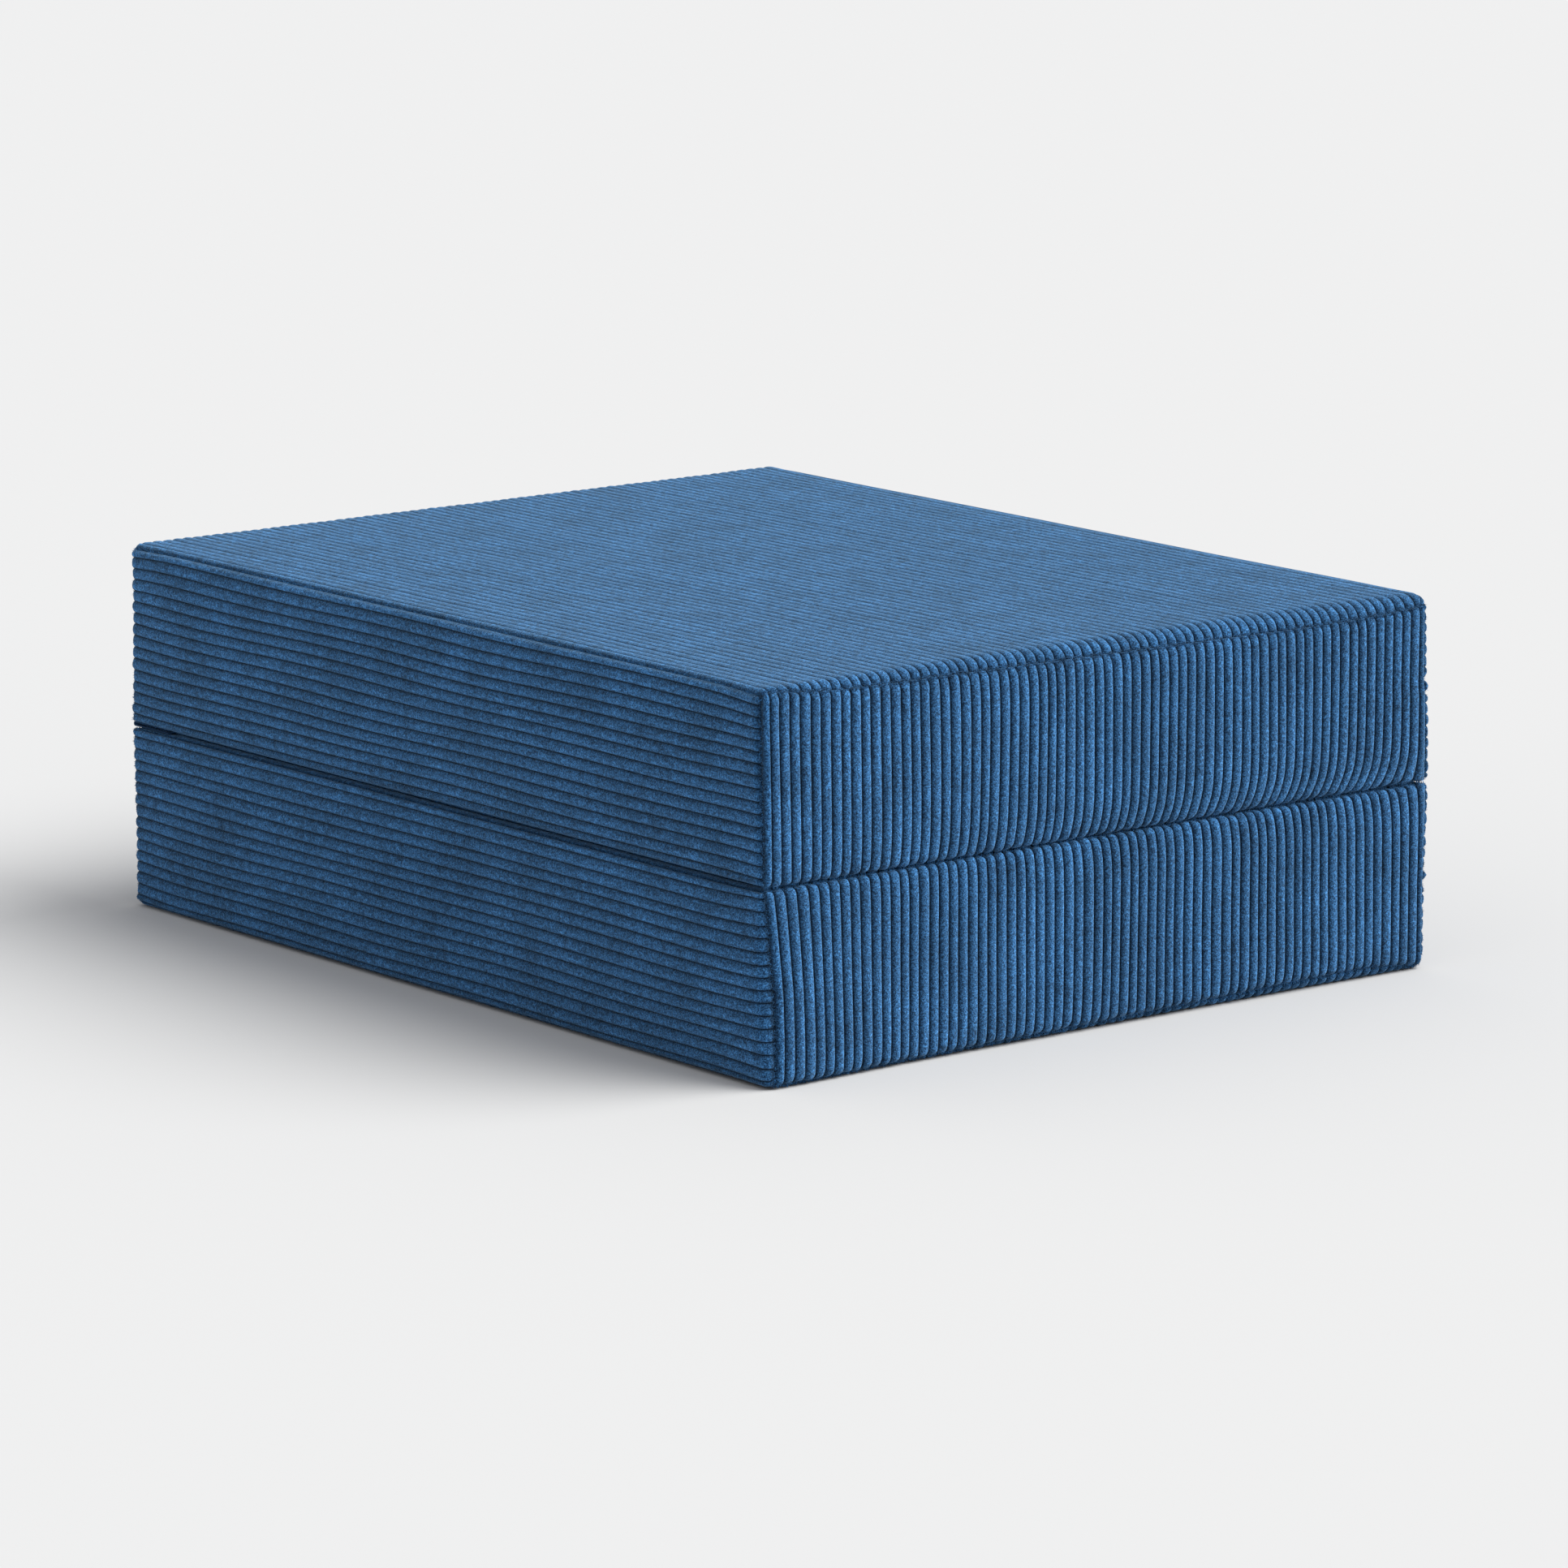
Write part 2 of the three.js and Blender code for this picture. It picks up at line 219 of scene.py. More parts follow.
def edge_radii(slab, points):
    """The rounding of the slab's edges, blended between the edges that are near each point."""
    style = SLABS[slab]
    outer, fold, corner = style["outer_radius"], style["inner_radius"], style["corner_radius"]
    near = np.minimum(np.clip(points - BOX_LOW, 0, None), np.clip(BOX_HIGH - points, 0, None))
    right = points[..., X] > 0
    back = points[..., Y] > 0
    inner = points[..., Z] > (BOX_HIGH[Z] + BOX_LOW[Z]) / 2
    across = np.clip((points[..., X] - BOX_LOW[X]) / BOX_SIZE[X], 0, 1)

    def along_front(radii, power):
        return radii[0] + (radii[1] - radii[0]) * across**power

    front_fold = along_front(fold["front"], FRONT_FOLD_POWER)
    front_outer = along_front(outer["front"], FRONT_OUTER_POWER)
    ends = np.where(
        back, np.where(inner, fold["back"], outer["back"]), np.where(inner, front_fold, front_outer)
    )
    sides = np.where(
        right,
        np.where(inner, fold["right"], outer["right"]),
        np.where(inner, fold["left"], outer["left"]),
    )
    corners = np.where(
        right,
        np.where(back, corner["right_back"], corner["right_front"]),
        np.where(back, corner["left_back"], corner["left_front"]),
    )
    to_fold = BOX_HIGH[Z] - points[..., Z]
    to_outer = points[..., Z] - BOX_LOW[Z]
    corners = corners * (1 - FOLD_SQUARING * np.exp(-to_fold / FOLD_SQUARING_REACH))
    corners = corners * (1 - OUTER_SQUARING * np.exp(-to_outer / OUTER_SQUARING_REACH))
    weights = [np.exp(-(near[..., a] + near[..., b]) / EDGE_FADE) for a, b in ((X, Y), (Y, Z), (X, Z))]
    mixed = sum(weight * radii for weight, radii in zip(weights, (corners, ends, sides)))
    return mixed / sum(weights) * MM


CORNER_SHIFT = np.array([2, -7, 0]) * MM
CORNER_REACH = np.array([120, 150]) * MM  # along X and along Y


def corner_lean(slab, points):
    """The lower slab's front left corner leans out towards the floor."""
    if slab == "upper":
        return 0.0
    away = ((points[..., :Z] - BOX_LOW[:Z]) / CORNER_REACH) ** 2
    height = np.clip(points[..., Z] / BOX_HIGH[Z], 0, 1)
    return CORNER_SHIFT * (np.exp(-away.sum(-1)) * (1 - height))[..., None]


def on_box(slab, points, radii, lift):
    """Points beside the box, brought onto its rounded surface and then lifted off it along the normal."""
    r = radii[..., None]
    centres = np.clip(points, BOX_LOW + r, BOX_HIGH - r)
    normals = points - centres
    normals /= np.linalg.norm(normals, axis=-1, keepdims=True)
    surface = centres + normals * (r + np.asarray(lift)[..., None])
    return surface + corner_lean(slab, surface), normals


def to_object(slab, points):
    """From the slab's own frame to the object's: the upper slab lies upside down."""
    placed = np.array(points, float)
    if slab == "upper":
        placed[..., Z] = 2 * FOLD_Z - placed[..., Z]
    return placed


# ---- Seams -----------------------------------------------

SEAM_FADE = 45 * MM  # how far a corner's wrap reaches along a seam
SEAM_OVERLAP = 0.5 * MM
PANEL_ORDER = (*SIDES, *ENDS, "outer", "inner")


def corner_wraps(slab, side, end, face):
    """Where three panels meet: how far each panel wraps towards each other one, in radians."""
    side_to_end, side_to_face = (math.radians(d) for d in SLABS[slab]["corners"][side, end, face])
    end_to_face = math.atan2(math.tan(side_to_face), math.tan(side_to_end))
    return {(side, end): side_to_end, (side, face): side_to_face, (end, face): end_to_face}


def middle_wrap(slab, a, b, t):
    """How far panel a wraps towards panel b away from the ends of their seam, or None if the seam runs
    straight from corner to corner. t goes from 0 to 1 along it."""
    style = SLABS[slab]
    wraps = {
        ("left", "outer"): style["left_outer"],
        ("right", "outer"): (45, 45),
        ("left", "inner"): (60, 60),
        ("right", "inner"): (50, 50),
        ("front", "outer"): style["front_outer"],
        ("back", "outer"): (22, 22),
        ("front", "inner"): (83, 83),
        ("back", "inner"): (60, 60),
    }
    if (a, b) not in wraps:
        return None
    start, end = wraps[a, b]
    return np.radians(start + (end - start) * t)


def seam_wrap(slab, panel, other, along):
    """How far panel wraps towards other, at each coordinate of along, in radians."""
    a, b = sorted((panel, other), key=PANEL_ORDER.index)
    if a in SIDES and b in ENDS:
        axis, ends = Z, [corner_wraps(slab, a, b, face)[a, b] for face in ("outer", "inner")]
    elif a in SIDES:
        axis, ends = Y, [corner_wraps(slab, a, end, b)[a, b] for end in ENDS]
    else:
        axis, ends = X, [corner_wraps(slab, side, a, b)[a, b] for side in SIDES]
    low, high = BOX_LOW[axis], BOX_HIGH[axis]
    t = np.clip((along - low) / (high - low), 0, 1)
    middle = middle_wrap(slab, a, b, t)
    if middle is None:
        wrap = ends[0] + (ends[1] - ends[0]) * t
    else:
        near_low = np.exp(-(((along - low) / SEAM_FADE).clip(0) ** 2))
        near_high = np.exp(-(((high - along) / SEAM_FADE).clip(0) ** 2))
        wrap = middle + (ends[0] - middle) * near_low + (ends[1] - middle) * near_high
    return wrap if panel == a else math.pi / 2 - wrap


# ---- Loose pile along the seams --------------------------

TUFT_SPACING = 0.8 * MM
TUFT_LENGTH = 3.2 * MM
TUFT_WIDTH = 0.9 * MM
TUFT_DEPTH = 0.3 * MM  # how far below the cloth's surface a tuft starts
TUFT_SHADE = 0.75  # in the painted groove shade, as light as a wale this high
TUFT_CORNERS = 3
TUFT_POINTS = TUFT_CORNERS + 1
tufts = {slab: [] for slab in SLABS}


def collect_tufts(slab, border, within, normal):
    """Loose pile that stands out of a seam: where each tuft is rooted, and where its tip is."""
    lengths = np.concatenate([[0], np.cumsum(np.linalg.norm(np.diff(border, axis=0), axis=1))])
    count = int(lengths[-1] / TUFT_SPACING)
    places = np.sort(rng.uniform(0, lengths[-1], count))

    def at(values):
        return np.stack([np.interp(places, lengths, values[:, axis]) for axis in (X, Y, Z)], 1)

    inward = at(within) - at(border)
    inward /= np.linalg.norm(inward, axis=1, keepdims=True)
    along = np.cross(inward, at(normal))
    scatter = rng.normal(size=(count, 3))
    lean = at(normal) + inward * (0.5 * scatter[:, :1] - 0.3) + along * 0.5 * scatter[:, 1:2]
    lean /= np.linalg.norm(lean, axis=1, keepdims=True)
    tips = at(border) + lean * TUFT_LENGTH * rng.uniform(0.6, 1.1, (count, 1))
    # no tip reaches past the back of the box, where the fold line is, or into the floor
    tips[:, Y] = np.minimum(tips[:, Y], BOX_HIGH[Y])
    if slab == "lower":
        tips[:, Z] = np.maximum(tips[:, Z], BOX_LOW[Z])
    tufts[slab].append((at(border), tips, along, inward))


def add_marks(mesh, marks):
    """What the corduroy's material reads at each point: the marks for its painted shade and highlight."""
    for mark, values in marks.items():
        attribute = mesh.attributes.new(mark, "FLOAT", "POINT")
        attribute.data.foreach_set("value", values.astype(np.float32))


def tuft_mesh(slab):
    """The tufts of one slab: slim closed spikes with three sides."""
    roots, tips, along, inward = (np.concatenate(part) for part in zip(*tufts[slab]))
    count = len(roots)
    corners = [
        roots + TUFT_WIDTH / 2 * (along * math.cos(angle) + inward * math.sin(angle))
        for angle in (k * 2 * math.pi / TUFT_CORNERS for k in range(TUFT_CORNERS))
    ]
    points = to_object(slab, np.stack([*corners, tips], 1))
    first = np.arange(count)[:, None] * TUFT_POINTS
    sides = [(0, 1, 3), (1, 2, 3), (2, 0, 3), (2, 1, 0)]
    faces = np.concatenate([first + np.array(side) for side in sides]).tolist()
    mesh = bpy.data.meshes.new(f"{slab}_seam_tufts")
    mesh.from_pydata(points.reshape(-1, 3).tolist(), [], faces)
    tidy_normals(mesh)
    # each tuft takes a random value in the painted flank highlight and shade, and TUFT_SHADE in the painted
    # groove shade
    lean = np.repeat(rng.uniform(-0.9, 0.9, count), TUFT_POINTS)
    add_marks(mesh, {"wale": np.full_like(lean, TUFT_SHADE), "lean": lean, "seam": np.zeros_like(lean)})
    return mesh


def tidy_normals(mesh):
    bm = bmesh.new()
    bm.from_mesh(mesh)
    bmesh.ops.recalc_face_normals(bm, faces=bm.faces)
    bm.to_mesh(mesh)
    bm.free()


# ---- Panels ----------------------------------------------
# A panel's own coordinates are lengths along the cloth: u across its wales and v along them. Past the start
# of an edge's rounding they follow the arc.

U, V = 0, 1
FACES = {
    "outer": {"normal": (Z, LOW), "across": X, "along": Y},
    "inner": {"normal": (Z, HIGH), "across": X, "along": Y},
    "front": {"normal": (Y, LOW), "across": X, "along": Z},
    "back": {"normal": (Y, HIGH), "across": X, "along": Z},
    "left": {"normal": (X, LOW), "across": Z, "along": Y},
    "right": {"normal": (X, HIGH), "across": Z, "along": Y},
}
NEIGHBOUR = {spec["normal"]: face for face, spec in FACES.items()}
FLAT_FACES = ("outer", "inner", "back")  # these only swell inwards, because they meet something flat
FLOOR_FACE = ("lower", "outer")

WALE = 11.2 * MM
WALE_DEPTH = 3.0 * MM
WALE_STEPS = np.array([0, 0.035, 0.11, 0.26, 0.5, 0.74, 0.89, 0.965])  # the samples across one wale
WALE_UNEVENNESS = 0.05  # how far a groove may be from its place, as a share of a wale
WALE_HEIGHTS = (0.86, 1.0)
END_STEPS = np.array([0, 1.1, 2.3, 3.6, 5, 7, 9.5, 12.5, 16, 20, 25, 31, 38]) * MM  # and near a wale's end
LONG_STEP = 12 * MM  # and along the rest of it
SHELL = 4.5 * MM  # the cloth and its padding, below the grooves

LEAN_REACH = 45 * MM  # how far wales beside a border lean with it
BEND_REACH = 60 * MM  # how far the cloth stretches along its wales to meet a border
SEWN_REACH = 12 * MM  # how far from a border wales are held in place
DRIFT = 0.9 * MM  # how far wales wander sideways
DRIFT_ACROSS, DRIFT_ALONG = 30 * MM, 90 * MM
SWEEP_REACH, SWEEP_SIDE_REACH = 19 * MM, 22 * MM  # from the fold, and from the right side

TIP = 5.5 * MM  # how long a wale's rounded end is
TIP_HEIGHT = 0.25  # a wale's height at its very end
PINCH = 2.6 * MM  # how far a seam draws the cloth in
PINCH_REACH = 5 * MM
# across these seams the wales run on: the shares kept of the pinch and of the rounded ends
SOFT_SEAMS = {("front", "inner"): (0.25, 0.3), ("front", "outer"): (0.6, 0.6)}
SOFT_REACH = 14 * MM
CROWNS = {"outer": 0.3, "inner": 0.0, "front": 3.5, "back": 0.0, "left": 3.5, "right": 2.5}  # millimetres
SWELL, FLAT_SWELL, SWELL_SIZE = 1.0 * MM, 0.5 * MM, 110 * MM
PUCKER, PUCKER_SIZE, PUCKER_REACH, PUCKER_START = 0.7 * MM, 4 * MM, 10 * MM, 2 * MM
HINGE_DIP = 2.4 * MM  # room under the hinge's leaf
HINGE_DIP_EASE = 4 * MM
HINGE_LEAF_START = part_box("lower_hinge_leaf")[0].y
END_FLANK_SHADE = 1.3  # the painted highlight and shade of the flanks are stronger on the front and the back


def wale_profile(phase):
    """A wale's height across its width, from 0 in the groove to 1 on top: round, with steep flanks."""
    return (1 - np.abs(2 * phase - 1) ** 2.6).clip(0) ** 0.6


def on_face(face, places):
    """Points on a face of the box before its edges are rounded. places gives the other two coordinates."""
    axis, side = FACES[face]["normal"]
    points = np.zeros(np.broadcast_shapes(*(np.shape(values) for values in places.values())) + (3,))
    points[..., axis] = BOX[side][axis]
    for other, values in places.items():
        points[..., other] = np.clip(values, BOX_LOW[other], BOX_HIGH[other])
    return points


def limit(slab, face, axis, side, along_axis, along):
    """The panel's border on one side of one axis, as an arc length, at each coordinate of along."""
    radii = edge_radii(slab, on_face(face, {axis: BOX[side][axis], along_axis: along}))
    wrap = seam_wrap(slab, face, NEIGHBOUR[axis, side], along)
    reach = radii * (wrap - 1) + SEAM_OVERLAP
    return BOX_HIGH[axis] + reach if side == HIGH else BOX_LOW[axis] - reach


def round_the_edge(lengths, axis, radii):
    """Arc lengths along one axis to coordinates beside the box."""
    low = BOX_LOW[axis] + radii
    high = BOX_HIGH[axis] - radii
    below = low - radii * np.tan(np.clip((low - lengths) / radii, 0, 1.5))
    above = high + radii * np.tan(np.clip((lengths - high) / radii, 0, 1.5))
    return np.where(lengths < low, below, np.where(lengths > high, above, lengths))


def lay_wales(low, high, wales):
    """The samples across the wales: their places, their phases within a wale, and their wales' heights."""
    count = wales or max(1, round((high - low) / WALE))
    pitch = (high - low) / count
    phases = np.concatenate([np.tile(WALE_STEPS, count), [0.0]])
    index = np.concatenate([np.repeat(np.arange(count), len(WALE_STEPS)), [count]])
    grooves = np.arange(count + 1) * pitch
    grooves[1:-1] += rng.uniform(-WALE_UNEVENNESS, WALE_UNEVENNESS, count - 1) * pitch
    widths = np.append(np.diff(grooves), 0)
    heights = rng.uniform(*WALE_HEIGHTS, count + 1)
    return low + grooves[index] + phases * widths[index], phases, heights[index]


def lay_rows(low, high):
    """The samples along the wales, closest together at both ends."""
    length = high - low
    ends = END_STEPS[END_STEPS < length * 0.45]
    steps = max(2, int(np.ceil((length - 2 * ends[-1]) / LONG_STEP)))
    middle = np.linspace(ends[-1], length - ends[-1], steps + 1)
    return low + np.concatenate([ends[:-1], middle, (length - ends[:-1])[::-1]])


class Panel:
    """The samples of one panel. Each of ranges, across its wales and along them, holds a fixed border, or
    None for a seam with the neighbouring panel."""

    def __init__(self, slab, face, ranges, wales):
        self.slab = slab
        self.face = face
        self.axes = FACES[face]["across"], FACES[face]["along"]
        self.ranges = ranges
        self.borders = [self.middle_borders(k) for k in (U, V)]
        u, self.phases, self.heights = lay_wales(*self.borders[U], wales)
        self.lengths = np.meshgrid(u, lay_rows(*self.borders[V]))
        self.from_border = [
            np.minimum(values - low, high - values)
            for values, (low, high) in zip(self.lengths, self.borders)
        ]
        self.free = math.prod(1 - np.exp(-away / SEWN_REACH) for away in self.from_border)

    def middle_borders(self, k):
        """Both borders along u or v, half way along them."""
        axis, other = self.axes[k], self.axes[1 - k]
        middle = np.array([(BOX_LOW[other] + BOX_HIGH[other]) / 2])
        return [
            float(limit(self.slab, self.face, axis, side, other, middle)[0]) if fixed is None else fixed
            for side, fixed in enumerate(self.ranges[k])
        ]

    def share(self, k):
        """How far across the panel each sample is along u or v, from 0 to 1."""
        low, high = self.borders[k]
        return (self.lengths[k] - low) / (high - low)

    def follow_borders(self, k, reach):
        """The lengths along u or v, shifted near the borders, because these aren't straight."""
        axis, other = self.axes[k], self.axes[1 - k]
        lengths, ends, fixed = self.lengths[k], self.borders[k], self.ranges[k]
        moved = lengths.copy()
        for side in (LOW, HIGH):
            if fixed[side] is not None:
                continue
            shift = limit(self.slab, self.face, axis, side, other, self.lengths[1 - k]) - ends[side]
            fade = np.exp(-(((lengths - ends[side]) / reach) ** 2))
            if fixed[1 - side] is not None:
                fade *= np.clip(np.abs(lengths - ends[1 - side]) / (ends[1] - ends[0]), 0, 1)
            moved += shift * fade
        return moved

    def drift(self, placed):
        """Wales wander a little, but not where they are sewn down."""
        size = np.full(3, DRIFT_ACROSS)
        size[self.axes[V]] = DRIFT_ALONG
        return DRIFT * self.free * wander(WAVE_DRIFT, placed, size)

    def fold_sweep(self):
        """By the fold, the front's wales are dragged to the left, most of all towards the right end."""
        to_right = self.borders[U][HIGH] - self.lengths[U]
        to_fold = self.borders[V][HIGH] - self.lengths[V]
        sweep = SLABS[self.slab]["fold_sweep"] * np.exp(-((to_fold / SWEEP_REACH) ** 1.5))
        right_part = np.clip(self.share(U), 0, 1) ** 1.5
        return sweep * right_part * (1 - np.exp(-to_right / SWEEP_SIDE_REACH))

    def pinch_and_tips(self):
        """How far a seam draws the cloth in, and how full the wales are near their ends, from 0 to 1. The
        pinch also gives the painted shade along the seams.
        """
        from_v = self.from_border[V]
        tip = np.sqrt(1 - (1 - np.clip(from_v / TIP, 0, 1)) ** 2)
        border = np.minimum(self.from_border[U], from_v)
        pinch = np.exp(-((border / PINCH_REACH) ** 2))
        low, high = self.borders[V]
        for seam, (pinch_kept, tip_kept) in SOFT_SEAMS.items():
            if self.face not in seam:
                continue
            other = seam[1 - seam.index(self.face)]
            from_seam = high - self.lengths[V] if other == "inner" else self.lengths[V] - low
            soft = np.exp(-((from_seam / SOFT_REACH) ** 4))
            pinch = pinch * (1 - (1 - pinch_kept) * soft * (border >= from_seam * 0.999))
            tip = 1 - (1 - tip) * (1 - (1 - tip_kept) * soft)
        return pinch, tip

    def crown(self):
        """How far the panel stands out in its middle."""
        if (self.slab, self.face) == FLOOR_FACE:
            return 0.0
        s, t = (np.clip(2 * self.share(k) - 1, -1, 1) for k in (U, V))
        return CROWNS[self.face] * MM * (1 - s**2) * (1 - t**8)

    def swell(self, placed):
        field = wander(WAVE_SWELL, placed, SWELL_SIZE)
        return FLAT_SWELL * np.minimum(field, 0) if self.face in FLAT_FACES else SWELL * field

    def pucker(self, placed):
        """Small creases beside the seams across the wales."""
        from_u, from_v = self.from_border
        depth = wander(WAVE_PUCKER, placed, PUCKER_SIZE) * np.exp(-((from_v / PUCKER_REACH) ** 2)) * PUCKER
        return depth * (1 - np.exp(-from_v / PUCKER_START)) * (1 - np.exp(-from_u / PUCKER_START))

    def sew(self, outside, normals):
        """Tufts along each border that is a seam."""
        root = outside - normals * TUFT_DEPTH
        fixed_u, fixed_v = self.ranges
        # the samples beside each border, and the ones further in that show which way is inward
        sewn = (
            (root[2], root[5], normals[2], fixed_v[LOW]),
            (root[-3], root[-6], normals[-3], fixed_v[HIGH]),
            (root[:, 2], root[:, 4], normals[:, 2], fixed_u[LOW]),
            (root[:, -3], root[:, -5], normals[:, -3], fixed_u[HIGH]),
        )
        for border, within, normal, fixed in sewn:
            if fixed is None:
                collect_tufts(self.slab, border, within, normal)

    def flank_shade(self):
        """Painted highlight and shade across each wale, as if lit from one side: one flank is lighter, the
        right one, or on the sides the lower one, and the other darker."""
        lean = np.sin((self.phases - 0.5) * math.pi)[None, :] * np.ones_like(self.lengths[U])
        if self.face in ENDS:
            lean = lean * END_FLANK_SHADE
        return -lean if self.face in SIDES and self.slab == "lower" else lean


def panel_surface(slab, face, u_range=(None, None), v_range=(None, None), wales=None):
    """The points of a panel's outer surface and of its shell's inside, and what the material needs at each
    for its painted shade and highlight: the wale's height, which flank it is, and how near a seam it is."""
    panel = Panel(slab, face, (u_range, v_range), wales)
    u = panel.follow_borders(U, LEAN_REACH)
    v = panel.follow_borders(V, BEND_REACH)
    across, along = panel.axes
    flat = on_face(face, {across: u, along: v})
    radii = edge_radii(slab, flat)
    placed = to_object(slab, flat)
    u += panel.drift(placed)
    if face == "front":
        u -= panel.fold_sweep()
    beside = flat.copy()
    beside[..., across] = round_the_edge(u, across, radii)
    beside[..., along] = round_the_edge(v, along, radii)

    pinch, tip = panel.pinch_and_tips()
    full = wale_profile(panel.phases)[None, :] * panel.heights[None, :]
    profile = full * (TIP_HEIGHT + (1 - TIP_HEIGHT) * tip)
    lift = WALE_DEPTH * (profile - 1) - PINCH * pinch + panel.crown()
    lift = lift + panel.free * panel.swell(placed) + panel.pucker(placed)
    if face == "back" or (slab, face) == FLOOR_FACE:
        lift = np.minimum(lift, 0)
    if face == "inner":
        lift -= HINGE_DIP / (1 + np.exp(-(v - HINGE_LEAF_START + HINGE_DIP_EASE) / HINGE_DIP_EASE))
    outside, normals = on_box(slab, beside, radii, lift)
    inside, _ = on_box(slab, beside, radii, np.full(u.shape, -WALE_DEPTH - SHELL))
    panel.sew(outside, normals)
    # the marks for the material's painted shade and highlight: in the grooves by the wale's height, across
    # each wale's flanks, and where the seams pinch the cloth
    marks = {"wale": np.clip(profile, 0, 1), "lean": panel.flank_shade(), "seam": pinch}
    return to_object(slab, outside), to_object(slab, inside), marks


INSIDE_STRIDE = 4  # the shell's inside has one row for this many outside


def wall_faces(outer_line, back_line, kept, flip):
    """A wall between a border of the outer surface and the coarser border of the inside."""
    faces = []
    for k in range(len(kept) - 1):
        ring = [*outer_line[kept[k] : kept[k + 1] + 1], back_line[k + 1], back_line[k]]
        faces.append(ring[::-1] if flip else ring)
    return faces


def grid_faces(index):
    quads = np.stack([index[:-1, :-1], index[:-1, 1:], index[1:, 1:], index[1:, :-1]], -1)
    return quads.reshape(-1, 4).tolist()


def faces_inward(outside, inside):
    """Whether the outer surface's faces, as grid_faces turns them, point to the shell's inside."""
    rows, columns = outside.shape[:2]
    row, column = rows // 2, columns // 2
    a = outside[row, column + 1] - outside[row, column]
    b = outside[row + 1, column] - outside[row, column]
    return np.dot(np.cross(a, b), outside[row, column] - inside[row, column]) < 0


def shell_mesh(name, outside, inside, marks):
    """A closed shell: the fine outer surface, a coarse inner one, and walls between their borders."""
    rows, columns = outside.shape[:2]
    keep_rows = sorted({*range(0, rows - 1, INSIDE_STRIDE), rows - 1})
    keep_columns = list(range(0, columns, len(WALE_STEPS)))
    back = inside[np.ix_(keep_rows, keep_columns)]
    outer_index = np.arange(rows * columns).reshape(rows, columns)
    back_index = rows * columns + np.arange(back.shape[0] * back.shape[1]).reshape(back.shape[:2])

    faces = grid_faces(outer_index)
    smooth = len(faces)
    faces += [quad[::-1] for quad in grid_faces(back_index)]
    faces += wall_faces(outer_index[0], back_index[0], keep_columns, True)
    faces += wall_faces(outer_index[-1], back_index[-1], keep_columns, False)
    faces += wall_faces(outer_index[:, 0], back_index[:, 0], keep_rows, False)
    faces += wall_faces(outer_index[:, -1], back_index[:, -1], keep_rows, True)
    if faces_inward(outside, inside):
        faces = [face[::-1] for face in faces]

    points = np.concatenate([outside.reshape(-1, 3), back.reshape(-1, 3)])
    mesh = bpy.data.meshes.new(name)
    mesh.from_pydata(points.tolist(), [], faces)
    mesh.polygons.foreach_set("use_smooth", np.arange(len(faces)) < smooth)
    unmarked = (0, len(points) - rows * columns)
    add_marks(mesh, {mark: np.pad(values.reshape(-1), unmarked) for mark, values in marks.items()})
    mesh.update()
    return mesh


def add_object(name, mesh, material):
    piece = bpy.data.objects.new(name, mesh)
    bpy.context.scene.collection.objects.link(piece)
    mesh.materials.clear()
    mesh.materials.append(material)
    return piece


# ---- Materials -------------------------------------------


class Nodes:
    """Short calls for building a material's node tree."""

    def __init__(self, name):
        self.material = bpy.data.materials.new(name)
        self.material.use_nodes = True
        self.tree = self.material.node_tree
        self.shader = self.tree.nodes["Principled BSDF"]
        self.coordinates = self.tree.nodes.new("ShaderNodeTexCoord").outputs["Object"]

    def link(self, source, socket):
        if hasattr(source, "links"):
            self.tree.links.new(source, socket)
        else:
            socket.default_value = source

    def attribute(self, name):
        node = self.tree.nodes.new("ShaderNodeAttribute")
        node.attribute_name = name
        return node.outputs["Fac"]

    def maths(self, operation, a, b=0.0, c=0.0):
        node = self.tree.nodes.new("ShaderNodeMath")
        node.operation = operation
        for socket, value in zip(node.inputs, (a, b, c)):
            self.link(value, socket)
        return node.outputs[0]

    def stretch(self, scale):
        """The coordinates, scaled along each axis: below 1 draws a pattern out."""
        node = self.tree.nodes.new("ShaderNodeMapping")
        node.inputs["Scale"].default_value = scale
        self.link(self.coordinates, node.inputs["Vector"])
        return node.outputs[0]

    def noise(self, size, detail, roughness, vector=None):
        node = self.tree.nodes.new("ShaderNodeTexNoise")
        node.inputs["Scale"].default_value = 1 / size
        node.inputs["Detail"].default_value = detail
        node.inputs["Roughness"].default_value = roughness
        self.link(vector or self.coordinates, node.inputs["Vector"])
        return node.outputs["Fac"]

    def remap(self, value, low, high, new_low, new_high):
        node = self.tree.nodes.new("ShaderNodeMapRange")
        for socket, number in zip(node.inputs, (value, low, high, new_low, new_high)):
            self.link(number, socket)
        return node.outputs[0]

    def mix(self, factor, a, b):
        node = self.tree.nodes.new("ShaderNodeMix")
        node.data_type = "RGBA"
        for key, value in (("Factor_Float", factor), ("A_Color", a), ("B_Color", b)):
            socket = next(s for s in node.inputs if s.identifier == key)
            self.link((*value, 1) if isinstance(value, tuple) else value, socket)
        return next(s for s in node.outputs if s.identifier == "Result_Color")

    def brighten(self, colour, factor):
        node = self.tree.nodes.new("ShaderNodeVectorMath")
        node.operation = "SCALE"
        self.link(colour, node.inputs[0])
        self.link(factor, node.inputs["Scale"])
        return node.outputs[0]

    def bump(self, height, depth):
        node = self.tree.nodes.new("ShaderNodeBump")
        node.inputs["Distance"].default_value = depth
        self.link(height, node.inputs["Height"])
        self.link(node.outputs[0], self.shader.inputs["Normal"])

    def set(self, **values):
        for key, value in values.items():
            self.link(value, self.shader.inputs[key.replace("_", " ")])


FLECK_SIZE, TUFT_SIZE, STREAK_SIZE = 1.3 * MM, 2.8 * MM, 2.6 * MM
CLOUD_SIZE, SMUDGE_SIZE = 60 * MM, 16 * MM
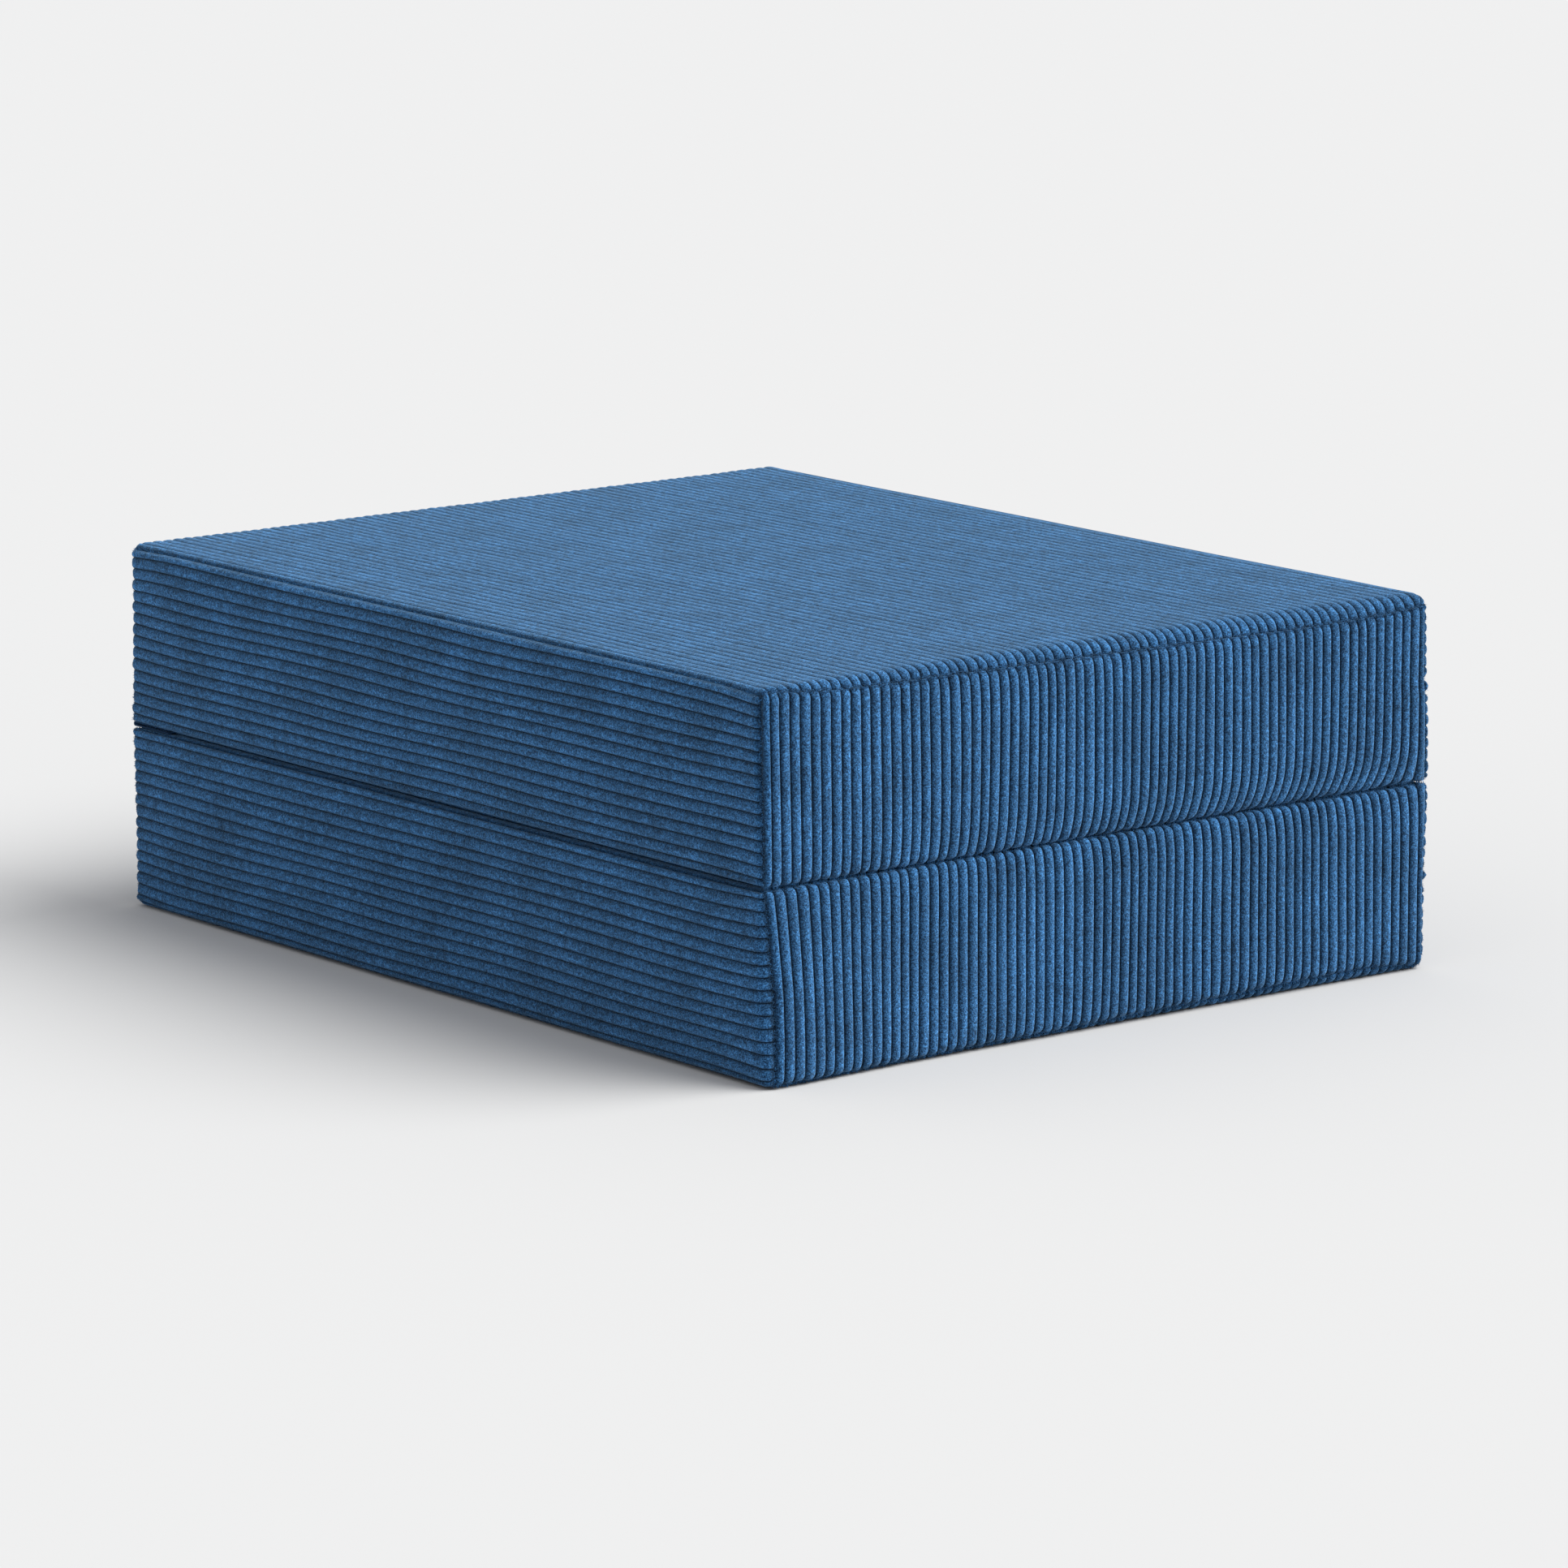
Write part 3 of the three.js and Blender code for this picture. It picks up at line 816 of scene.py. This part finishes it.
# the groove colour is painted shade; the dark and light pile colours are the flecks' random tone
GROOVE_SHADE, PILE_DARK, PILE_LIGHT = (0.0006, 0.0036, 0.011), (0.0070, 0.029, 0.078), (0.037, 0.139, 0.320)
PILE_SHEEN = (0.38, 0.64, 0.92, 1.0)
# how strong the painted highlight and shade on the wales' flanks are
FLANK_SHADE_CONTRAST = 0.40


def corduroy_material():
    """Blue velvet pile: painted shade in the grooves and along the seams, a painted highlight on one flank
    of each wale and painted shade on the other, and flecks.
    """
    n = Nodes("corduroy")
    wale = n.attribute("wale")
    # the lean mark holds the painted highlight and shade across each wale's flanks
    lean = n.attribute("lean")
    seam = n.attribute("seam")
    fleck = n.noise(FLECK_SIZE, 2, 0.6)
    tuft = n.noise(TUFT_SIZE, 1, 0.5)
    cloud = n.noise(CLOUD_SIZE, 2, 0.5)
    smudge = n.noise(SMUDGE_SIZE, 2, 0.6)
    streak = n.noise(STREAK_SIZE, 2, 0.6, n.stretch((1, 0.3, 1)))
    body = n.mix(n.remap(fleck, 0.39, 0.63, 0, 1), PILE_DARK, PILE_LIGHT)
    # painted shade in the grooves: the pile is mixed towards a near-black colour where the wale is low
    groove_shaded = n.mix(n.remap(wale, 0.10, 0.74, 0, 1), GROOVE_SHADE, body)
    # painted highlight on one flank of each wale and painted shade on the other
    shade = n.maths("MULTIPLY_ADD", lean, FLANK_SHADE_CONTRAST, 1.0)
    # each pattern, where it starts and ends, and how bright the pile is at both
    for pattern, start, end, first, last in (
        (tuft, 0.3, 0.7, 0.77, 1.23),
        (streak, 0.34, 0.66, 0.64, 1.36),
        (cloud, 0.3, 0.7, 0.80, 1.16),
        (smudge, 0.60, 0.72, 1.0, 0.72),
        # painted shade where the seams pinch the cloth
        (seam, 0, 1, 1.0, 0.6),
    ):
        shade = n.maths("MULTIPLY", shade, n.remap(pattern, start, end, first, last))
    n.set(Base_Color=n.brighten(groove_shaded, shade), Roughness=0.95, Specular_IOR_Level=0.06)
    n.set(Sheen_Weight=0.32, Sheen_Roughness=0.45, Sheen_Tint=PILE_SHEEN)
    n.bump(n.maths("ADD", tuft, fleck), 0.9 * MM)
    return n.material


def darker(colour, factor):
    return tuple(channel * factor for channel in colour)


def fine_material(name, colour, roughness):
    """Nylon or thread, with a faint grain."""
    n = Nodes(name)
    grain = n.noise(1.5 * MM, 2, 0.6)
    n.set(Base_Color=n.mix(grain, darker(colour, 0.8), colour), Roughness=roughness)
    n.bump(grain, 0.1 * MM)
    return n.material


WAVE_SCALE = 0.314  # a wave texture of this scale repeats once a metre


def woven_material(name, colour, thread, contrast=0.35):
    """A plain weave, in which threads along Y cross threads along X or Z, with painted shade where it
    sinks. thread is the size of one.
    """
    n = Nodes(name)
    waves = []
    for direction in ("X", "Y", "Z"):
        wave = n.tree.nodes.new("ShaderNodeTexWave")
        wave.bands_direction = direction
        wave.inputs["Scale"].default_value = WAVE_SCALE / thread
        wave.inputs["Distortion"].default_value = 0.6
        wave.inputs["Detail Scale"].default_value = 0.5
        n.link(n.coordinates, wave.inputs["Vector"])
        waves.append(wave.outputs["Fac"])
    weave = n.maths("MULTIPLY", waves[1], n.maths("MAXIMUM", waves[0], waves[2]))
    fuzz = n.noise(1.3 * MM, 2, 0.6)
    height = n.maths("MULTIPLY_ADD", fuzz, 0.5, weave)
    low = darker(colour, 1 - contrast)
    # painted shade: the cloth is darker by the share contrast where the weave and its fuzz are low
    n.set(Base_Color=n.mix(n.remap(height, 0.2, 1.1, 0, 1), low, colour))
    n.set(Roughness=0.85, Specular_IOR_Level=0.2)
    n.bump(height, 0.25 * thread)
    return n.material


FOAM_CELL = 1.6 * MM


def foam_material(name, colour):
    """Open-cell foam: a field of little pits, darkened with painted shade."""
    n = Nodes(name)
    cells = n.tree.nodes.new("ShaderNodeTexVoronoi")
    cells.inputs["Scale"].default_value = 1 / FOAM_CELL
    n.link(n.coordinates, cells.inputs["Vector"])
    pits = n.remap(cells.outputs["Distance"], 0.1, 0.7, 1, 0)
    blotch = n.noise(35 * MM, 2, 0.5)
    surface = n.mix(blotch, darker(colour, 0.93), colour)
    # painted shade in the pits: they take the colour at 0.6
    n.set(Base_Color=n.mix(pits, surface, darker(colour, 0.6)), Roughness=0.95)
    n.set(Specular_IOR_Level=0.1)
    n.bump(n.maths("SUBTRACT", 1.0, pits), 0.4 * MM)
    return n.material


def metal_material():
    """Grey metal with fine scratches."""
    n = Nodes("zip_metal")
    scratch = n.noise(2.5 * MM, 3, 0.6, n.stretch((1, 0.15, 1)))
    n.set(Base_Color=n.mix(scratch, (0.20, 0.20, 0.21), (0.42, 0.42, 0.44)), Metallic=1.0)
    n.set(Roughness=n.remap(scratch, 0.3, 0.7, 0.24, 0.42))
    n.bump(scratch, 0.03 * MM)
    return n.material


corduroy = corduroy_material()
support_foam = foam_material("support_foam", (0.80, 0.74, 0.58))
comfort_foam = foam_material("comfort_foam", (0.84, 0.84, 0.80))
liner_cloth = woven_material("liner_cloth", (0.80, 0.79, 0.75), 0.6 * MM, 0.15)
hinge_cloth = woven_material("hinge_cloth", (0.010, 0.046, 0.120), 1.2 * MM)
tape_cloth = woven_material("zip_tape", (0.020, 0.055, 0.115), 0.7 * MM)
thread = fine_material("hinge_thread", (0.045, 0.130, 0.260), 0.6)
coil_nylon = fine_material("zip_coil", (0.014, 0.040, 0.090), 0.35)
zip_metal = metal_material()

# ---- Covers ----------------------------------------------

TAB = {"u_range": (SLOT_LOW, SLOT_HIGH), "wales": 1}
# each panel's face, and its borders that aren't seams with the neighbouring faces
PANELS = {
    "outer_face_panel": ("outer", {}),
    "inner_face_panel": ("inner", {}),
    "front_end_panel": ("front", {}),
    "back_end_panel": ("back", {}),
    "left_side_panel": ("left", {}),
    "right_side_outer_strip": ("right", {"u_range": (None, SLOT_LOW)}),
    "right_side_inner_strip": ("right", {"u_range": (SLOT_HIGH, None)}),
    "zip_front_end_tab": ("right", {**TAB, "v_range": (None, TAB_LENGTH - HALF_LENGTH)}),
    "zip_back_end_tab": ("right", {**TAB, "v_range": (HALF_LENGTH - TAB_LENGTH, None)}),
}


def add_cover(slab):
    for name, (face, options) in PANELS.items():
        node = f"{slab}_{name}"
        mesh = shell_mesh(node, *panel_surface(slab, face, **options))
        piece = add_object(f"{node}_cloth", mesh, corduroy)
        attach(piece, f"{slab}_slab")
        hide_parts(node)
    fringe = add_object(f"{slab}_seam_tufts", tuft_mesh(slab), corduroy)
    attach(fringe, f"{slab}_slab")


# ---- Foam and liner --------------------------------------

COVER_INSET = 8 * MM
FOAM_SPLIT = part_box("lower_support_foam")[1].z
FOAM_GAP = 0.6 * MM
FOAM_RADIUS = 26 * MM
FOAM_CUTS = 40
ZIP_CLEARANCE = 3.5 * MM


def soft_block(name, low, high, radius, cells, swell):
    """A closed block with rounded edges and a surface that swells a little here and there."""
    bm = bmesh.new()
    bmesh.ops.create_cube(bm, size=2)
    bmesh.ops.subdivide_edges(bm, edges=bm.edges, cuts=cells, use_grid_fill=True)
    unit = np.array([v.co for v in bm.verts])
    eased = np.sign(unit) * (1 - (1 - np.abs(unit)) ** 1.6)
    points = (low + high) / 2 + eased * (high - low) / 2
    centres = np.clip(points, low + radius, high - radius)
    normals = points - centres
    normals /= np.maximum(np.linalg.norm(normals, axis=1, keepdims=True), 1e-9)
    bumps = swell * (wander(WAVE_SWELL, points, 70 * MM) - 2) * 0.25
    points = centres + normals * (radius + bumps)[:, None]
    for vert, point in zip(bm.verts, points):
        vert.co = point
    for face in bm.faces:
        face.smooth = True
    mesh = bpy.data.meshes.new(name)
    bm.to_mesh(mesh)
    bm.free()
    return mesh


def add_filling(slab):
    """Two layers of foam in a liner bag."""
    bag_low = BOX_LOW + COVER_INSET
    bag_high = BOX_HIGH - COVER_INSET - np.array([ZIP_CLEARANCE, 0, 0])
    foam_low = bag_low + FOAM_GAP
    foam_high = bag_high - FOAM_GAP
    support_top = np.array([*foam_high[:Z], FOAM_SPLIT])
    comfort_bottom = np.array([*foam_low[:Z], FOAM_SPLIT + FOAM_GAP])
    pieces = (
        ("support_foam", foam_low, support_top, support_foam, 0.5 * MM),
        ("comfort_foam", comfort_bottom, foam_high, comfort_foam, 0.8 * MM),
        ("liner_bag", bag_low, bag_high, liner_cloth, 0.6 * MM),
    )
    for name, low, high, material, swell in pieces:
        ends = to_object(slab, np.array([low, high]))
        mesh = soft_block(name, ends.min(0), ends.max(0), FOAM_RADIUS, FOAM_CUTS, swell)
        piece = add_object(f"{slab}_{name}_block", mesh, material)
        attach(piece, f"{slab}_slab")
        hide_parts(f"{slab}_{name}")


# ---- Hinge web -------------------------------------------
# A band of cloth sewn along both inner faces and turned round the fold line at the back.

WEB_THICKNESS = 1.2 * MM
WEB_LOW = FOLD_Z - 2.3 * MM  # the underside of the lower leaf
WEB_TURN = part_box("lower_hinge_leaf")[1].y  # where the band starts to turn
WEB_TURN_FLATNESS = 0.8
WEB_HALF_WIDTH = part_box("lower_hinge_leaf")[1].x + 5 * MM  # it closes the ends of the fold's crease
WEB_COLUMNS = 161


def web_section():
    """The band's middle line in the YZ plane, from the lower leaf's free edge round to the upper one's."""
    radius = FOLD_Z - WEB_LOW - WEB_THICKNESS / 2
    reach = WEB_TURN_FLATNESS * radius
    leaf = np.linspace(HINGE_LEAF_START, WEB_TURN, 16)
    angles = np.radians(np.linspace(-90, 90, 15)[1:-1])
    lower = [(y, FOLD_Z - radius) for y in leaf]
    turn = [(WEB_TURN + reach * math.cos(a), FOLD_Z + radius * math.sin(a)) for a in angles]
    upper = [(y, FOLD_Z + radius) for y in leaf[::-1]]
    return np.array(lower + turn + upper)


def ring_faces(rings, corners):
    """Quads between neighbouring rings of points, each ring closed."""
    index = np.arange(rings * corners).reshape(rings, corners)
    after = np.roll(index, -1, axis=1)
    faces = np.stack([index[:-1], after[:-1], after[1:], index[1:]], -1).reshape(-1, 4).tolist()
    return index, faces


def web_mesh(line):
    """The band that follows the middle line: closed, with one ring of points for each column."""
    tangents = np.gradient(line, axis=0)
    tangents /= np.linalg.norm(tangents, axis=1, keepdims=True)
    offsets = np.stack([tangents[:, 1], -tangents[:, 0]], 1) * WEB_THICKNESS / 2
    ring = np.concatenate([line + offsets, (line - offsets)[::-1]])
    points = np.zeros((WEB_COLUMNS, len(ring), 3))
    points[..., X] = np.linspace(-WEB_HALF_WIDTH, WEB_HALF_WIDTH, WEB_COLUMNS)[:, None]
    points[..., Y] = ring[None, :, 0]
    points[..., Z] = ring[None, :, 1]
    # the free edges of the leaves are not quite straight
    wave = wander(WAVE_DRIFT, points, 60 * MM)
    free = np.exp(-(((points[..., Y] - HINGE_LEAF_START) / (15 * MM)) ** 2))
    points[..., Y] += 0.8 * MM * wave * free
    count = len(ring)
    index, faces = ring_faces(WEB_COLUMNS, count)
    for row, flip in ((index[0], True), (index[-1], False)):
        for k in range(count // 2 - 1):
            quad = [row[k], row[k + 1], row[count - 2 - k], row[count - 1 - k]]
            faces.append(quad[::-1] if flip else quad)
    mesh = bpy.data.meshes.new("hinge_web")
    mesh.from_pydata(points.reshape(-1, 3).tolist(), [], faces)
    tidy_normals(mesh)
    mesh.shade_smooth()
    return mesh


def add_hinge_web():
    line = web_section()
    web = add_object("hinge_web", web_mesh(line), hinge_cloth)
    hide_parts("lower_hinge_leaf", "upper_hinge_leaf")
    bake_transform(web)


STITCH_LENGTH = 3.2 * MM
STITCH_PITCH = 4.6 * MM
STITCH_RADIUS = 0.35 * MM
STITCH_INSETS = (3 * MM, 8 * MM)  # two rows, from the leaf's free edge
STITCH_END = 12 * MM  # the rows at the sides stop this far before the band turns
STITCH_SHAPE = ((-0.5, 0.35), (-0.3, 1), (0.3, 1), (0.5, 0.35))  # place along it, and share of its radius
STITCH_SIDES = 6


def stitch_row(bm, start, end, up):
    """Short lens-shaped stitches from start to end, half sunk in the cloth."""
    run = end - start
    ahead = run.normalized()
    side = ahead.cross(up)
    turns = [math.radians(360 / STITCH_SIDES * c) for c in range(STITCH_SIDES)]
    for k in range(int(run.length / STITCH_PITCH)):
        middle = start + ahead * (k + 0.5) * STITCH_PITCH
        rings = []
        for place, share in STITCH_SHAPE:
            centre = middle + ahead * place * STITCH_LENGTH
            radius = STITCH_RADIUS * share
            ring = [centre + (side * math.cos(a) + up * math.sin(a)) * radius for a in turns]
            rings.append([bm.verts.new(point) for point in ring])
        for one, two in zip(rings, rings[1:]):
            for c in range(STITCH_SIDES):
                after = (c + 1) % STITCH_SIDES
                bm.faces.new([one[c], one[after], two[after], two[c]])
        bm.faces.new(rings[0][::-1])
        bm.faces.new(rings[-1])


def add_hinge_stitches(slab):
    bm = bmesh.new()
    surface = WEB_LOW + WEB_THICKNESS
    half = WEB_HALF_WIDTH - STITCH_INSETS[0]
    up = Vector((0, 0, 1))
    for inset in STITCH_INSETS:
        y = HINGE_LEAF_START + inset
        stitch_row(bm, Vector((-half, y, surface)), Vector((half, y, surface)), up)
    for x in (-half, half):
        stitch_row(bm, Vector((x, y, surface)), Vector((x, WEB_TURN - STITCH_END, surface)), up)
    for vert in bm.verts:
        vert.co = Vector(to_object(slab, vert.co))
    bmesh.ops.recalc_face_normals(bm, faces=bm.faces)
    mesh = bpy.data.meshes.new(f"{slab}_hinge_stitches")
    bm.to_mesh(mesh)
    bm.free()
    mesh.shade_smooth()
    stitches = add_object(f"{slab}_hinge_stitches", mesh, thread)
    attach(stitches, f"{slab}_slab")


# ---- Zips ------------------------------------------------

COIL_PITCH = 2.0 * MM
COIL_WIRE = 0.36 * MM
COIL_STEPS = 8  # to one turn
COIL_SIDES = 5


def coil_mesh(name, low, high):
    """A flattened helix of nylon wire that fills the given box along Y."""
    centre, half = (low + high) / 2, (high - low) / 2
    steps = int((high[Y] - low[Y] - 2 * COIL_WIRE) / COIL_PITCH) * COIL_STEPS + 1
    angle = np.arange(steps) * 2 * math.pi / COIL_STEPS
    path = np.stack(
        [
            centre[X] + (half[X] - COIL_WIRE) * np.cos(angle),
            low[Y] + COIL_WIRE + COIL_PITCH * angle / (2 * math.pi),
            centre[Z] + (half[Z] - COIL_WIRE) * np.sin(angle),
        ],
        1,
    )
    tangents = np.gradient(path, axis=0)
    tangents /= np.linalg.norm(tangents, axis=1, keepdims=True)
    side = np.cross(tangents, (0, 1, 0))
    side /= np.linalg.norm(side, axis=1, keepdims=True)
    up = np.cross(side, tangents)
    turns = (np.arange(COIL_SIDES) * 2 * math.pi / COIL_SIDES)[None, :, None]
    points = path[:, None] + (side[:, None] * np.cos(turns) + up[:, None] * np.sin(turns)) * COIL_WIRE
    index, faces = ring_faces(steps, COIL_SIDES)
    faces += [index[0][::-1].tolist(), index[-1].tolist()]
    mesh = bpy.data.meshes.new(name)
    mesh.from_pydata(points.reshape(-1, 3).tolist(), [], faces)
    tidy_normals(mesh)
    mesh.shade_smooth()
    return mesh


def paint(node, material):
    """Gives a CAD node its material."""
    piece = next(o for o in bpy.data.objects if o.name == node and o.type == "MESH")
    for slot in piece.material_slots:
        slot.material = material


def add_zip(slab):
    for side in ("outer", "inner"):
        node = f"{slab}_zip_{side}_coil"
        low, high = (np.array(corner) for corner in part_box(node))
        piece = add_object(f"{node}_teeth", coil_mesh(node, low, high), coil_nylon)
        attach(piece, f"{slab}_slab")
        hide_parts(node)
        paint(f"{slab}_zip_{side}_tape", tape_cloth)
    for name in ("zip_front_stop", "zip_back_stop", "zip_slider", "zip_pull"):
        paint(f"{slab}_{name}", zip_metal)


for slab in SLABS:
    add_cover(slab)
    add_filling(slab)
    add_zip(slab)
    add_hinge_stitches(slab)
add_hinge_web()

# ---- Studio ----------------------------------------------


FLOOR_HALF = 20
FLOOR_COLOUR = (0.402, 0.406, 0.418, 1)  # a little blue, so that it looks neutral in the warm key light
WORLD_STRENGTH = 0.92
KEY_AZIMUTH, KEY_ELEVATION = 46, 50
KEY_SPREAD = 50
KEY_STRENGTH = 5.1
KEY_COLOUR = (1.0, 0.985, 0.94)
KEY_DISTANCE = 5


def add_floor():
    mesh = bpy.data.meshes.new("floor")
    corners = [(x * FLOOR_HALF, y * FLOOR_HALF, 0) for x, y in ((-1, -1), (1, -1), (1, 1), (-1, 1))]
    mesh.from_pydata(corners, [], [(0, 1, 2, 3)])
    n = Nodes("floor")
    n.set(Base_Color=FLOOR_COLOUR, Roughness=1.0, Specular_IOR_Level=0.0)
    add_object("floor", mesh, n.material)


def add_key():
    """A soft light from one direction, as even as a wall of softboxes."""
    data = bpy.data.lights.new("key", "SUN")
    data.angle = math.radians(KEY_SPREAD)
    data.energy = KEY_STRENGTH
    data.color = KEY_COLOUR
    light = bpy.data.objects.new("key", data)
    place_facing(light, Vector((0, 0, FOLD_Z)), KEY_AZIMUTH, KEY_ELEVATION, KEY_DISTANCE)


def add_world():
    world = bpy.data.worlds.new("studio")
    world.use_nodes = True
    background = world.node_tree.nodes["Background"]
    background.inputs["Color"].default_value = (1, 1, 1, 1)
    background.inputs["Strength"].default_value = WORLD_STRENGTH
    bpy.context.scene.world = world


add_floor()
add_world()
add_key()
bpy.context.scene.view_settings.view_transform = "Standard"
